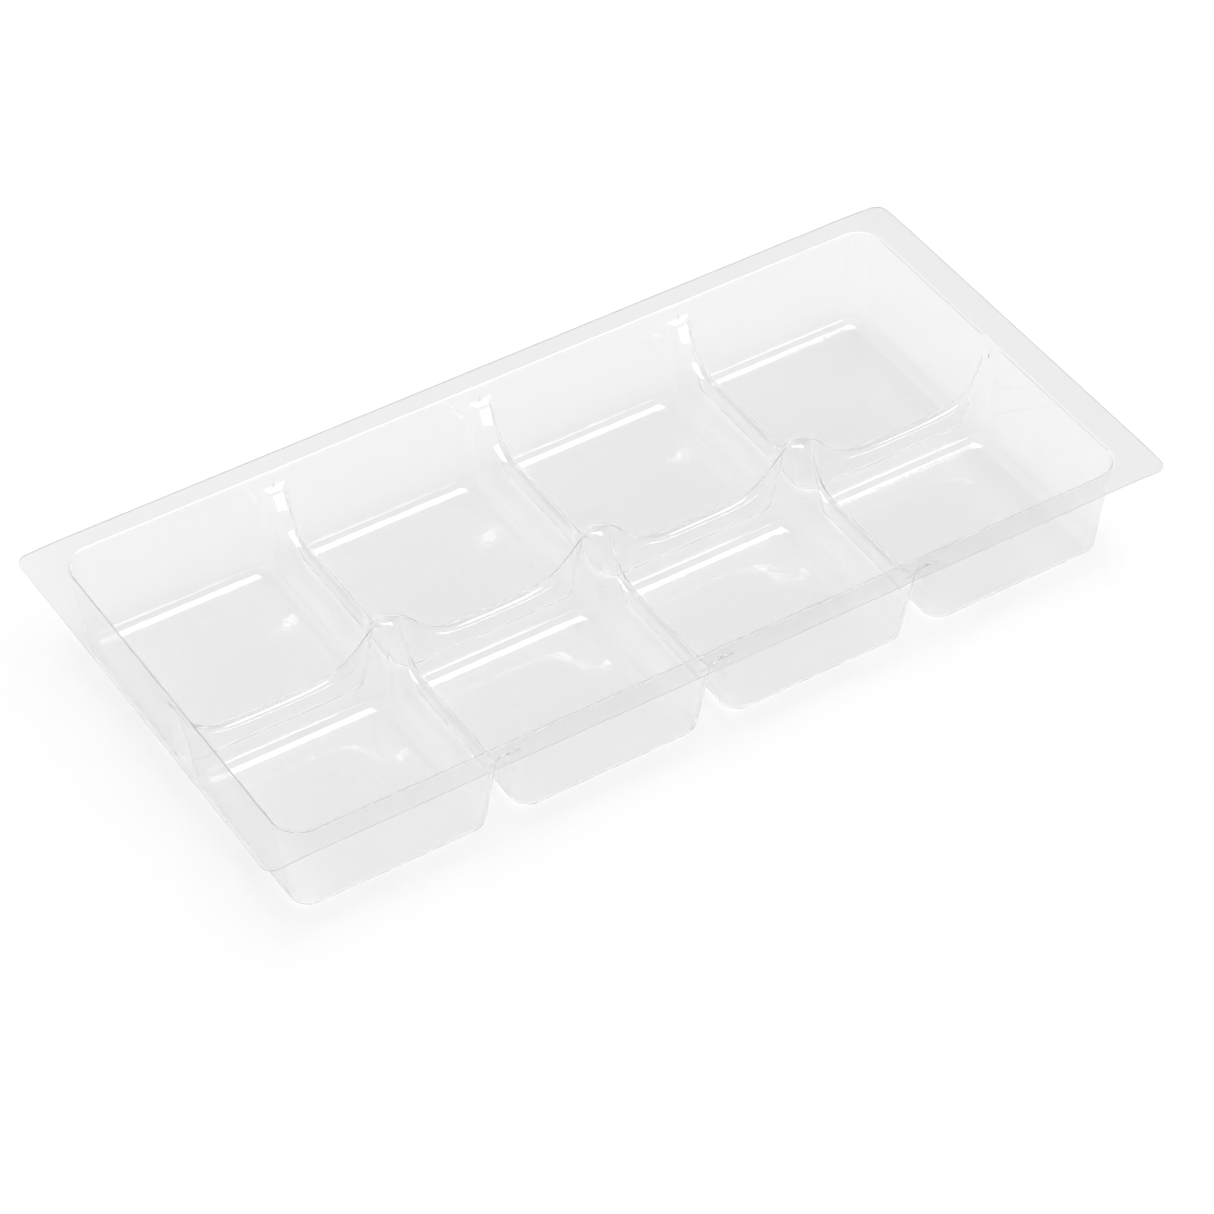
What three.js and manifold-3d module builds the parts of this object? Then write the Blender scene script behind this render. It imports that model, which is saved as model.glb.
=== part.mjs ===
// Eight-cell soap tray mould, formed from one sheet of clear plastic over eight tapered blocks.
//
// Millimetres, +Z up, +X along the long side, +Y to the back. The origin is the middle of the
// ground that the eight cell floors stand on. The sheet is built whole, as the space inside the
// tray taken away from the same space grown by the sheet's thickness, and it is then divided
// into zones along planes, so that each zone is a plain shape: cups, ridges, peaks, gussets,
// walls, corners and rims.

import * as THREE from 'three';
import Module from 'manifold-3d';

const wasm = await Module();
wasm.setup();

// ---- driving dimensions -------------------------------------------------------------------

const LENGTH = 250; // rim, outside, along X
const WIDTH = 121; // rim, outside, along Y
const HEIGHT = 28.2; // ground to the top face of the rim
const SHEET = 0.6; // thickness of the formed sheet
const COLUMNS = 4;
const PITCH = 58.5; // from one cross divider to the next
const GAP = 0.3; // slit left between neighbouring zones

const RIM_CORNER = 3; // outside corner radius of the rim
const MOUTH_BEND = 1.2; // radius of the bend from wall to rim
const FLOOR_FILLET = 3; // radius between a cell's floor and its walls
const CORNER_FLOOR = 5; // upright corner radius of a cell at its floor
const CORNER_RIM = 7; // and at the rim

const END_WALL = { floor: 113.2, rim: 116.2 }; // distance of the end walls from the middle
const SIDE_WALL = { floor: 52.6, rim: 54.4 }; // distance of the long walls from the middle
const CROSS_HALF = { floor: 3.9, rim: 1.45 }; // half width of the gap between two columns
const LONG_HALF = { floor: 2.3, rim: 0.45 }; // half width of the gap between the two rows

const CROSS_CREST = 12.7; // height of the ridge between two columns, at its lowest
const LONG_CREST = 11.4; // height of the ridge between the two rows, at its lowest
const PEAK_HEIGHT = 23.3; // where two ridges cross
const PEAK_SPREAD = { x: 6.4, y: 4.2 }; // how far the peak runs out along each ridge
const WALL_RISE = 14.5; // how far a ridge climbs where it meets an outer wall
const WALL_RUN = 4.4; // how fast that climb dies away

const SPLIT = 10.2; // cups below this height, ridges and walls above it
const PEAK_REACH = { x: 13, y: 9.5 }; // a peak zone, from its middle
const GUSSET_REACH = 11.5; // a gusset zone, in from its wall
const GUSSET_HALF = 9.6; // and to each side of its ridge
const CORNER_REACH = 8.5; // a corner zone, in from both walls
const RIM_SPLIT = HEIGHT - MOUTH_BEND - 0.6; // walls below this height, rims above it

const MOUTH_INSET = 0.03; // walls between cells stand this much further in
const RIM_REACH = 20; // a rim strip's mitres run in this far, past the bend
const RIM_OVERRUN = 1; // cutting shapes pass the sheet's faces by this much

const CORNER_STEPS = 4;
const FILLET_STEPS = 3;
const RIDGE_STEP = 4.4; // length of one facet along a ridge
const FAR = 200; // larger than the tray, for cutting planes

const dividers = Array.from({ length: COLUMNS - 1 }, (_, i) => (i + 1 - COLUMNS / 2) * PITCH);

const clearPlastic = new THREE.MeshStandardMaterial({
  color: 0xeef1f2,
  roughness: 0.08,
  metalness: 0,
  transparent: true,
  opacity: 0.35,
});

const CROSS_ROUND = tapered(CROSS_HALF, CROSS_CREST); // radius of each ridge's round top
const LONG_ROUND = tapered(LONG_HALF, LONG_CREST);

// ---- solids -------------------------------------------------------------------------------

/** Linear taper of a wall between its place at the floor and its place at the rim. */
function tapered(wall, z) {
  return wall.floor + ((wall.rim - wall.floor) * (z - SHEET)) / (HEIGHT - SHEET);
}

/** One horizontal rounded rectangle, anticlockwise from above. */
function ring(x0, x1, y0, y1, radius, z) {
  const corners = [
    [x1 - radius, y1 - radius, 0],
    [x0 + radius, y1 - radius, 1],
    [x0 + radius, y0 + radius, 2],
    [x1 - radius, y0 + radius, 3],
  ];
  return corners.flatMap(([cx, cy, quarter]) =>
    Array.from({ length: CORNER_STEPS + 1 }, (_, k) => {
      const angle = (quarter + k / CORNER_STEPS) * (Math.PI / 2);
      return [cx + radius * Math.cos(angle), cy + radius * Math.sin(angle), z];
    }),
  );
}

/** A closed solid through stacked convex rings, lowest first. */
function loft(rings) {
  const count = rings[0].length;
  const triangles = [];
  for (let level = 0; level + 1 < rings.length; level++) {
    for (let i = 0; i < count; i++) {
      const a = level * count + i;
      const b = level * count + ((i + 1) % count);
      triangles.push(a, b, b + count, a, b + count, a + count);
    }
  }
  const top = (rings.length - 1) * count;
  for (let i = 1; i + 1 < count; i++) {
    triangles.push(0, i + 1, i, top, top + i, top + i + 1);
  }
  return solid(rings.flat(2), triangles);
}

function solid(positions, triangles) {
  const mesh = new wasm.Mesh({
    numProp: 3,
    vertProperties: new Float32Array(positions),
    triVerts: new Uint32Array(triangles),
  });
  return new wasm.Manifold(mesh);
}

/** A straight-sided block between two corners. */
function block(x0, x1, y0, y1, z0, z1) {
  const outline = (z) => [
    [x0, y0, z],
    [x1, y0, z],
    [x1, y1, z],
    [x0, y1, z],
  ];
  return loft([outline(z0), outline(z1)]);
}

/** The four wall places of one cell at a height, grown outwards by grow. */
function cellWalls(column, side, z, grow) {
  const endLeft = column === 0;
  const endRight = column === COLUMNS - 1;
  const left = endLeft ? -tapered(END_WALL, z) : dividers[column - 1] + tapered(CROSS_HALF, z);
  const right = endRight ? tapered(END_WALL, z) : dividers[column] - tapered(CROSS_HALF, z);
  const near = tapered(LONG_HALF, z);
  const far = tapered(SIDE_WALL, z);
  const low = side > 0 ? near : -far;
  const high = side > 0 ? far : -near;
  return [left - grow, right + grow, low - grow, high + grow];
}

/** The space of one cell from its floor to the rim, grown by grow. */
function cellSpace(column, side, grow) {
  const fillet = FLOOR_FILLET + grow;
  const floor = SHEET - grow;
  const rings = [];
  const level = (z, inset) => {
    const [x0, x1, y0, y1] = cellWalls(column, side, z, grow);
    const share = (z - SHEET) / (HEIGHT - SHEET);
    const radius = CORNER_FLOOR + (CORNER_RIM - CORNER_FLOOR) * share + grow - inset * 0.6;
    rings.push(ring(x0 + inset, x1 - inset, y0 + inset, y1 - inset, radius, z));
  };
  for (let k = 0; k <= FILLET_STEPS; k++) {
    const angle = (k / FILLET_STEPS) * (Math.PI / 2);
    level(floor + fillet * (1 - Math.cos(angle)), fillet * (1 - Math.sin(angle)));
  }
  level(RIM_SPLIT, 0);
  level(HEIGHT + 1, 0);
  return loft(rings);
}

/** How far a ridge has climbed at a distance from the wall that it meets. */
function wallClimb(distance) {
  return WALL_RISE * Math.exp(-Math.max(distance, 0) / WALL_RUN);
}

/** Height of a ridge's middle line, at a distance from a peak and another from its outer wall. */
function ridgeTop(crest, spread, fromPeak, fromWall) {
  const peak = (PEAK_HEIGHT - crest) * Math.exp(-0.5 * (fromPeak / spread) ** 2);
  return crest + peak + wallClimb(fromWall);
}

/** Height of a round-topped ridge beside its middle line, with the sheet's thickness taken off. */
function ridgeHeight(top, steepness, half, beside, grow) {
  const radius = tapered(half, top) - grow;
  const inside = Math.min(Math.abs(beside), radius);
  const drop = radius - Math.sqrt(radius * radius - inside * inside);
  return top - drop - grow * Math.hypot(1, steepness);
}

/** Height of the ridges over a point, with the sheet's thickness grow taken off. */
function crestHeight(x, y, grow) {
  const nearest = dividers.reduce((best, d) => (Math.abs(x - d) < Math.abs(x - best) ? d : best));
  const beside = x - nearest;
  const crossTop = (at) => ridgeTop(CROSS_CREST, PEAK_SPREAD.y, at, SIDE_WALL.rim - Math.abs(at));
  const longTop = (at) => {
    return ridgeTop(LONG_CREST, PEAK_SPREAD.x, at, END_WALL.rim - Math.abs(nearest + at));
  };
  const crossSteep = crossTop(y + 0.5) - crossTop(y - 0.5);
  const longSteep = longTop(beside + 0.5) - longTop(beside - 0.5);
  const cross = ridgeHeight(crossTop(y), crossSteep, CROSS_HALF, beside, grow);
  const long = ridgeHeight(longTop(beside), longSteep, LONG_HALF, y, grow);
  const nearCross = Math.abs(beside) < 2 * CROSS_ROUND;
  const nearLong = Math.abs(y) < 2 * LONG_ROUND;
  if (nearCross && nearLong) return Math.max(cross, long);
  return nearCross ? cross : long;
}

/** Grid lines from one end to the other, with extra lines over each round-topped ridge. */
function gridLines(end, ridges, radius, spacing) {
  const across = [-2, -1, -0.7, 0, 0.7, 1, 2].map((share) => share * radius);
  const lines = ridges.flatMap((ridge) => across.map((offset) => ridge + offset));
  const stops = [-end, ...ridges, end];
  for (let i = 0; i + 1 < stops.length; i++) {
    const from = stops[i] + (i === 0 ? 0 : 2 * radius);
    const to = stops[i + 1] - (i + 2 === stops.length ? 0 : 2 * radius);
    const parts = Math.round((to - from) / spacing);
    const first = i === 0 ? 0 : 1;
    const last = i + 2 === stops.length ? parts : parts - 1;
    for (let k = first; k <= last; k++) lines.push(from + ((to - from) * k) / parts);
  }
  return lines.sort((a, b) => a - b);
}

/** The space above the ridges, grown by grow, out past the walls. */
function spaceAboveRidges(grow) {
  const xs = gridLines(END_WALL.rim + 4, dividers, CROSS_ROUND, RIDGE_STEP);
  const ys = gridLines(SIDE_WALL.rim + 4, [0], LONG_ROUND, RIDGE_STEP);
  const positions = [];
  const triangles = [];
  for (const z of [null, HEIGHT + 1]) {
    for (const y of ys) {
      for (const x of xs) positions.push(x, y, z ?? crestHeight(x, y, grow));
    }
  }
  const row = xs.length;
  const sheet = row * ys.length;
  for (let j = 0; j + 1 < ys.length; j++) {
    for (let i = 0; i + 1 < row; i++) {
      const a = j * row + i;
      triangles.push(a, a + row + 1, a + 1, a, a + row, a + row + 1);
      const b = a + sheet;
      triangles.push(b, b + 1, b + row + 1, b, b + row + 1, b + row);
    }
  }
  const border = [
    ...xs.keys(),
    ...Array.from({ length: ys.length - 1 }, (_, j) => (j + 1) * row + row - 1),
    ...Array.from({ length: row - 1 }, (_, i) => sheet - 2 - i),
    ...Array.from({ length: ys.length - 2 }, (_, j) => (ys.length - 2 - j) * row),
  ];
  border.forEach((a, k) => {
    const b = border[(k + 1) % border.length];
    triangles.push(a, b, b + sheet, a, b + sheet, a + sheet);
  });
  return solid(positions, triangles);
}

/** The tray's whole mouth as one tapered block, from just under the ridges to the rim. */
function mouthSpace(grow) {
  const levels = [SPLIT - 4, RIM_SPLIT, HEIGHT + 1];
  return loft(
    levels.map((z) => {
      const x = tapered(END_WALL, z) + grow - MOUTH_INSET;
      const y = tapered(SIDE_WALL, z) + grow - MOUTH_INSET;
      const share = (z - SHEET) / (HEIGHT - SHEET);
      const radius = CORNER_FLOOR + (CORNER_RIM - CORNER_FLOOR) * share + grow;
      return ring(-x, x, -y, y, radius, z);
    }),
  );
}

/** The flare where the walls bend outwards into the rim. */
function mouthFlare(grow) {
  const bend = MOUTH_BEND - grow;
  const rings = [];
  for (let k = 0; k <= FILLET_STEPS; k++) {
    const angle = (k / FILLET_STEPS) * (Math.PI / 2);
    const out = bend * (1 - Math.cos(angle)) + grow;
    const z = HEIGHT - MOUTH_BEND + bend * Math.sin(angle);
    const x = tapered(END_WALL, HEIGHT) + out;
    const y = tapered(SIDE_WALL, HEIGHT) + out;
    rings.push(ring(-x, x, -y, y, CORNER_RIM + out, z));
  }
  const last = rings[rings.length - 1];
  rings.push(last.map(([x, y]) => [x, y, HEIGHT + 1]));
  return loft(rings);
}

/** Everything inside the tray, or with grow the same space out to the sheet's other face. */
function insideSpace(grow) {
  let space = spaceAboveRidges(grow).intersect(mouthSpace(grow));
  for (let column = 0; column < COLUMNS; column++) {
    for (const side of [1, -1]) space = space.add(cellSpace(column, side, grow));
  }
  return space;
}

function formedSheet() {
  const x = LENGTH / 2;
  const y = WIDTH / 2;
  const plate = loft([HEIGHT - SHEET, HEIGHT].map((z) => ring(-x, x, -y, y, RIM_CORNER, z)));
  const ceiling = block(-FAR, FAR, -FAR, FAR, HEIGHT, HEIGHT + FAR);
  const outside = insideSpace(SHEET).add(mouthFlare(SHEET)).subtract(ceiling).add(plate);
  return outside.subtract(insideSpace(0).add(mouthFlare(0)));
}

// ---- zones --------------------------------------------------------------------------------

const sheet = formedSheet();
const tray = new THREE.Group();

/** Cut one zone from the sheet, without crumbs, and hang it in a group on its own middle. */
function addZone(group, name, limit) {
  const bodies = sheet.intersect(limit).decompose();
  bodies.sort((a, b) => b.volume() - a.volume());
  const piece = bodies[0].getMesh();
  const geometry = new THREE.BufferGeometry();
  geometry.setAttribute('position', new THREE.BufferAttribute(piece.vertProperties, 3));
  geometry.setIndex(new THREE.BufferAttribute(piece.triVerts, 1));
  geometry.computeBoundingBox();
  const middle = geometry.boundingBox.getCenter(new THREE.Vector3());
  geometry.translate(-middle.x, -middle.y, -middle.z);
  geometry.computeVertexNormals();
  const mesh = new THREE.Mesh(geometry, clearPlastic.clone());
  mesh.name = name;
  mesh.position.copy(middle);
  group.add(mesh);
}

/** A block between two corners, drawn in by half a slit on the faces that meet a neighbour. */
function zone(x0, x1, y0, y1, z0, z1) {
  const half = GAP / 2;
  return block(x0 + half, x1 - half, y0 + half, y1 - half, z0 + half, z1 - half);
}

const sides = [
  ['back', 1],
  ['front', -1],
];
const ends = [
  ['left', -1],
  ['right', 1],
];
const gussetX = tapered(END_WALL, SPLIT) - GUSSET_REACH; // where the ridges reach the gussets
const gussetY = tapered(SIDE_WALL, SPLIT) - GUSSET_REACH;
const cornerX = END_WALL.rim - CORNER_REACH;
const cornerY = SIDE_WALL.rim - CORNER_REACH;
const upper = [SPLIT, RIM_SPLIT];

/** A span on one side of the middle, lowest end first. */
const span = (side, from, to) => (side > 0 ? [from, to] : [-to, -from]);

const cups = new THREE.Group();
for (const [row, side] of sides) {
  for (let column = 0; column < COLUMNS; column++) {
    const left = dividers[column - 1] ?? -FAR;
    const right = dividers[column] ?? FAR;
    addZone(cups, `cup_${row}_${column + 1}`, zone(left, right, ...span(side, 0, FAR), -FAR, SPLIT));
  }
}

const ridges = new THREE.Group();
dividers.forEach((x, i) => {
  const beside = [x - GUSSET_HALF, x + GUSSET_HALF];
  for (const [row, side] of sides) {
    const ridge = span(side, PEAK_REACH.y, gussetY);
    addZone(ridges, `ridge_${row}_${i + 1}`, zone(...beside, ...ridge, ...upper));
    addZone(ridges, `gusset_${row}_${i + 1}`, zone(...beside, ...span(side, gussetY, FAR), ...upper));
  }
  const reach = [x - PEAK_REACH.x, x + PEAK_REACH.x, -PEAK_REACH.y, PEAK_REACH.y];
  addZone(ridges, `peak_${i + 1}`, zone(...reach, ...upper));
});
for (let column = 0; column < COLUMNS; column++) {
  const left = column ? dividers[column - 1] + PEAK_REACH.x : -gussetX;
  const right = column + 1 < COLUMNS ? dividers[column] - PEAK_REACH.x : gussetX;
  addZone(ridges, `ridge_middle_${column + 1}`, zone(left, right, -GUSSET_HALF, GUSSET_HALF, ...upper));
}
for (const [end, way] of ends) {
  addZone(ridges, `gusset_${end}`, zone(...span(way, gussetX, FAR), -GUSSET_HALF, GUSSET_HALF, ...upper));
}

const walls = new THREE.Group();
for (const [row, side] of sides) {
  for (let column = 0; column < COLUMNS; column++) {
    const left = column ? dividers[column - 1] + GUSSET_HALF : -cornerX;
    const right = column + 1 < COLUMNS ? dividers[column] - GUSSET_HALF : cornerX;
    addZone(walls, `wall_${row}_${column + 1}`, zone(left, right, ...span(side, gussetY, FAR), ...upper));
  }
  for (const [end, way] of ends) {
    const across = span(side, GUSSET_HALF, cornerY);
    addZone(walls, `wall_${end}_${row}`, zone(...span(way, gussetX, FAR), ...across, ...upper));
    const reach = [...span(way, cornerX, FAR), ...span(side, cornerY, FAR)];
    addZone(walls, `corner_${row}_${end}`, zone(...reach, ...upper));
  }
}

const rims = new THREE.Group();

/** One rim strip, mitred at both ends. Turn 0 is the front, and each turn is a quarter round. */
function mitred(turn) {
  const [half, out] = turn % 2 ? [WIDTH / 2, LENGTH / 2] : [LENGTH / 2, WIDTH / 2];
  const slit = GAP * Math.SQRT1_2;
  const outline = [
    [slit - half - RIM_OVERRUN, -out - RIM_OVERRUN],
    [half - slit + RIM_OVERRUN, -out - RIM_OVERRUN],
    [half - slit - RIM_REACH, RIM_REACH - out],
    [slit - half + RIM_REACH, RIM_REACH - out],
  ];
  const cos = Math.round(Math.cos((turn * Math.PI) / 2));
  const sin = Math.round(Math.sin((turn * Math.PI) / 2));
  const turned = outline.map(([x, y]) => [x * cos - y * sin, x * sin + y * cos]);
  const levels = [RIM_SPLIT + GAP / 2, HEIGHT + RIM_OVERRUN];
  return loft(levels.map((z) => turned.map(([x, y]) => [x, y, z])));
}

['front', 'right', 'back', 'left'].forEach((where, turn) => addZone(rims, `rim_${where}`, mitred(turn)));

tray.add(cups, ridges, walls, rims);

export default tray;
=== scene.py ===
"""A clear soap tray mould on a pale studio table.

The tray is one sheet of clear plastic, drawn down over eight tapered blocks. The flat sheet is
laid out cell by cell, and a Geometry Nodes tree lets it down until it rests in the space that the
blocks leave, ripples it a little and gives it its gauge.
"""

import logging
import math
from dataclasses import dataclass, fields
from enum import Enum
from typing import Iterator

import bpy
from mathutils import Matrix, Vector


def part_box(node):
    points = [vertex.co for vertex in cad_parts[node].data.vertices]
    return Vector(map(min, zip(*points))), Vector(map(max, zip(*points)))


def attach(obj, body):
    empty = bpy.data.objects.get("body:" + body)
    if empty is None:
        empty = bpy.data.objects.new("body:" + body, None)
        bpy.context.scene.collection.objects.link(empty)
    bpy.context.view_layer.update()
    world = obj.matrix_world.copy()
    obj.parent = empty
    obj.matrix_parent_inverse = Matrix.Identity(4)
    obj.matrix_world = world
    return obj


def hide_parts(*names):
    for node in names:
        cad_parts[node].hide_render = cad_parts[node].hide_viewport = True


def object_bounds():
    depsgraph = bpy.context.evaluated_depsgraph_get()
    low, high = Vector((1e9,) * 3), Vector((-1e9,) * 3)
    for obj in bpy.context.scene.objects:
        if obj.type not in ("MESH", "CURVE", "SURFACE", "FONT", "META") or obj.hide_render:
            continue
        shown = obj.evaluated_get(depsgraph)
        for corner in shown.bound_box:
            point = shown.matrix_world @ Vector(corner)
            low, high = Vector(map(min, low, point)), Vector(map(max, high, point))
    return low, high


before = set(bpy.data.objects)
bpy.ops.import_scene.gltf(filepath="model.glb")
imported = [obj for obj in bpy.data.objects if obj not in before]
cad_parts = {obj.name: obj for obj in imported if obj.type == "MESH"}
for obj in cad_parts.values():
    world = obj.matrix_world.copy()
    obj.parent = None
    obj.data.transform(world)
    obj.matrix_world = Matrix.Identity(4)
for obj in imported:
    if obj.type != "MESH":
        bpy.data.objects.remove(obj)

CAD_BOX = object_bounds()
MM = 0.001

log = logging.getLogger("soap_tray")

Point = tuple[float, float]
Ring = list[Point]


def linear(colour: str) -> tuple[float, float, float, float]:
    """Turns an sRGB hex colour into the linear colour that shaders and lights take.

    Args:
        colour: Six hex digits.

    Returns:
        Linear red, green and blue, and an alpha of 1.
    """
    shares = (int(colour[i : i + 2], 16) / 255 for i in (0, 2, 4))
    return *(s / 12.92 if s <= 0.04045 else ((s + 0.055) / 1.055) ** 2.4 for s in shares), 1.0


def add_node(
    tree: bpy.types.NodeTree, kind: str, inputs: dict | None = None, **settings: object
) -> bpy.types.Node:
    """Adds a node with its settings, its fixed values and its links.

    Args:
        tree: The shader or geometry tree that the node goes into.
        kind: Blender's name for the node's type.
        inputs: For each input's name or number, a fixed value, a socket or a Field.
        settings: The node's own properties.

    Returns:
        The new node.
    """
    node = tree.nodes.new(kind)
    for name, value in settings.items():
        setattr(node, name, value)
    for key, value in (inputs or {}).items():
        value = getattr(value, "socket", value)
        if isinstance(value, bpy.types.NodeSocket):
            tree.links.new(value, node.inputs[key])
        else:
            node.inputs[key].default_value = value
    return node


def empty_material(name: str) -> bpy.types.Material:
    """Makes a node material with nothing in it yet.

    Args:
        name: The material's name.

    Returns:
        The material, with an empty tree.
    """
    material = bpy.data.materials.new(name)
    material.use_nodes = True
    material.node_tree.nodes.clear()
    return material


class Field:
    """A number that varies over the sheet, with the arithmetic that makes new ones from it."""

    def __init__(self, tree: bpy.types.NodeTree, socket: bpy.types.NodeSocket) -> None:
        """Keeps the tree and the output socket that gives the number."""
        self.tree = tree
        self.socket = socket

    def math(self, operation: str, *others: "Field | float") -> "Field":
        """Adds a Math node.

        Args:
            operation: The Math node's operation.
            others: Its second and third numbers.

        Returns:
            The node's result.
        """
        inputs = dict(enumerate((self, *others)))
        node = add_node(self.tree, "ShaderNodeMath", inputs, operation=operation)
        return Field(self.tree, node.outputs[0])

    def __add__(self, other: "Field | float") -> "Field":
        """The sum."""
        return self.math("ADD", other)

    def __radd__(self, other: float) -> "Field":
        """The sum, from the other side."""
        return self.math("ADD", other)

    def __sub__(self, other: "Field | float") -> "Field":
        """The difference."""
        return self.math("SUBTRACT", other)

    def __rsub__(self, other: float) -> "Field":
        """The difference, from the other side."""
        return self.math("MULTIPLY_ADD", -1.0, other)

    def __neg__(self) -> "Field":
        """The number with its sign changed."""
        return self.math("MULTIPLY", -1.0)

    def __mul__(self, other: "Field | float") -> "Field":
        """The product."""
        return self.math("MULTIPLY", other)

    def __rmul__(self, other: float) -> "Field":
        """The product, from the other side."""
        return self.math("MULTIPLY", other)

    def __truediv__(self, other: "Field | float") -> "Field":
        """The quotient."""
        return self.math("DIVIDE", other)

    def __pow__(self, power: float) -> "Field":
        """The power."""
        return self.math("POWER", power)

    def __abs__(self) -> "Field":
        """The size without its sign."""
        return self.math("ABSOLUTE")

    def least(self, other: "Field | float") -> "Field":
        """The larger of two numbers, so that the result is at least the other."""
        return self.math("MAXIMUM", other)

    def most(self, other: "Field | float") -> "Field":
        """The smaller of two numbers, so that the result is at most the other."""
        return self.math("MINIMUM", other)

    def above(self, other: "Field | float") -> "Field":
        """One where this is the larger, and nought elsewhere."""
        return self.math("GREATER_THAN", other)

    def exp(self) -> "Field":
        """The exponential."""
        return self.math("EXPONENT")


def across(a: Field, b: Field) -> Field:
    """The length of the slanting side over two upright ones."""
    return (a * a + b * b).math("SQRT")


def joined(a: Field, b: Field, radius: Field) -> Field:
    """Distance to the space that two spaces make together, with the edge between them rounded off."""
    return radius.least(a.most(b)) - across((radius - a).least(0.0), (radius - b).least(0.0))


def shared(a: Field, b: Field, radius: Field) -> Field:
    """Distance to the space that two spaces share, with the corner between them filled in."""
    return (-radius).most(a.least(b)) + across((radius + a).least(0.0), (radius + b).least(0.0))


def rounded_box(x: Field, y: Field, half_x: Field, half_y: Field, corner: Field) -> Field:
    """Distance outside a rounded rectangle that is centred on nought, and negative inside it.

    Args:
        x: Distance from the rectangle's middle along the tray.
        y: Distance from its middle across the tray.
        half_x: Half its length.
        half_y: Half its width.
        corner: The radius of its corners.

    Returns:
        The distance.
    """
    past_x = abs(x) - half_x + corner
    past_y = abs(y) - half_y + corner
    return across(past_x.least(0.0), past_y.least(0.0)) + past_x.least(past_y).most(0.0) - corner


@dataclass(frozen=True)
class Taper:
    """A measure that runs straight from its value at the cell floors to its value at the rim."""

    floor: "float | Field"
    rim: "float | Field"

    def at(self, share: "float | Field") -> "float | Field":
        """The value at a share of the way up."""
        return self.floor + (self.rim - self.floor) * share


@dataclass(frozen=True)
class FormingSizes:
    """The sizes that shape the sheet, in millimetres. Each is an input of the node tree."""

    # The rim's height, the distance from one cell to the next, and the gauge at the rim and the floors.
    rim_height: float
    pitch: float
    rim_gauge: float = 0.28
    floor_gauge: float = 0.15
    # Where the walls stand, from the tray's middle, and half the gap between two cells.
    end_wall_floor: float = 113.2
    end_wall_rim: float = 116.2
    side_wall_floor: float = 52.6
    side_wall_rim: float = 54.4
    cross_gap_floor: float = 3.9
    cross_gap_rim: float = 1.45
    long_gap_floor: float = 2.3
    long_gap_rim: float = 0.45
    # The radii of the tray's four upright corners and of the others, of the bend at the foot of
    # each wall, and of the bend at the mouth.
    corner_floor: float = 5.0
    corner_rim: float = 7.0
    inner_corner_floor: float = 5.0
    inner_corner_rim: float = 2.4
    floor_fillet: float = 3.0
    mouth_bend: float = 0.6
    # The height of the ridges that run across and along the tray, the height of the peaks where
    # they cross, and how far a peak spreads.
    cross_crest: float = 12.7
    long_crest: float = 11.4
    peak_height: float = 23.8
    peak_run_x: float = 6.4
    peak_run_y: float = 4.2
    # A ridge climbs by up to this much as it comes to an outer wall, mostly within this run of it.
    wall_rise: float = 21.0
    wall_run: float = 3.4
    # How round the tops of the ridges, peaks and gussets are, how far from a ridge or a peak its own
    # roundness reaches, and how far from a wall a gusset's does.
    cross_round: float = 2.7
    long_round: float = 1.15
    peak_round: float = 0.65
    gusset_round: float = 0.55
    flank: float = 6.0
    gusset_run: float = 7.0
    # The climb levels off at this height, with this bend.
    gusset_top: float = 23.6
    gusset_bend: float = 2.0
    # How soft the fold is where a ridge meets an outer wall, and along a peak's four edges.
    foot_round: float = 0.35
    crease: float = 0.8
    # The rim droops this much at this distance from the mouth.
    rim_droop: float = 0.15
    rim_width: float = 6.0
    # The unevenness of the sheet, with the seed that sets where it lies.
    ripple_height: float = 0.015
    ripple_spacing: float = 9.0
    ripple_seed: float = 4.0

    def taper(self, name: str) -> Taper:
        """The taper whose two ends are the sizes called NAME_floor and NAME_rim."""
        return Taper(getattr(self, name + "_floor"), getattr(self, name + "_rim"))


class Edge(Enum):
    """What lies beyond one side of a cell."""

    DIVIDER = "a ridge, and the next cell"
    RIM = "the tray's rim"


@dataclass(frozen=True)
class CellSide:
    """One side of a cell: its wall, where the cell's share of the sheet ends, and what is there."""

    wall: Taper
    border: float
    edge: Edge


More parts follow.
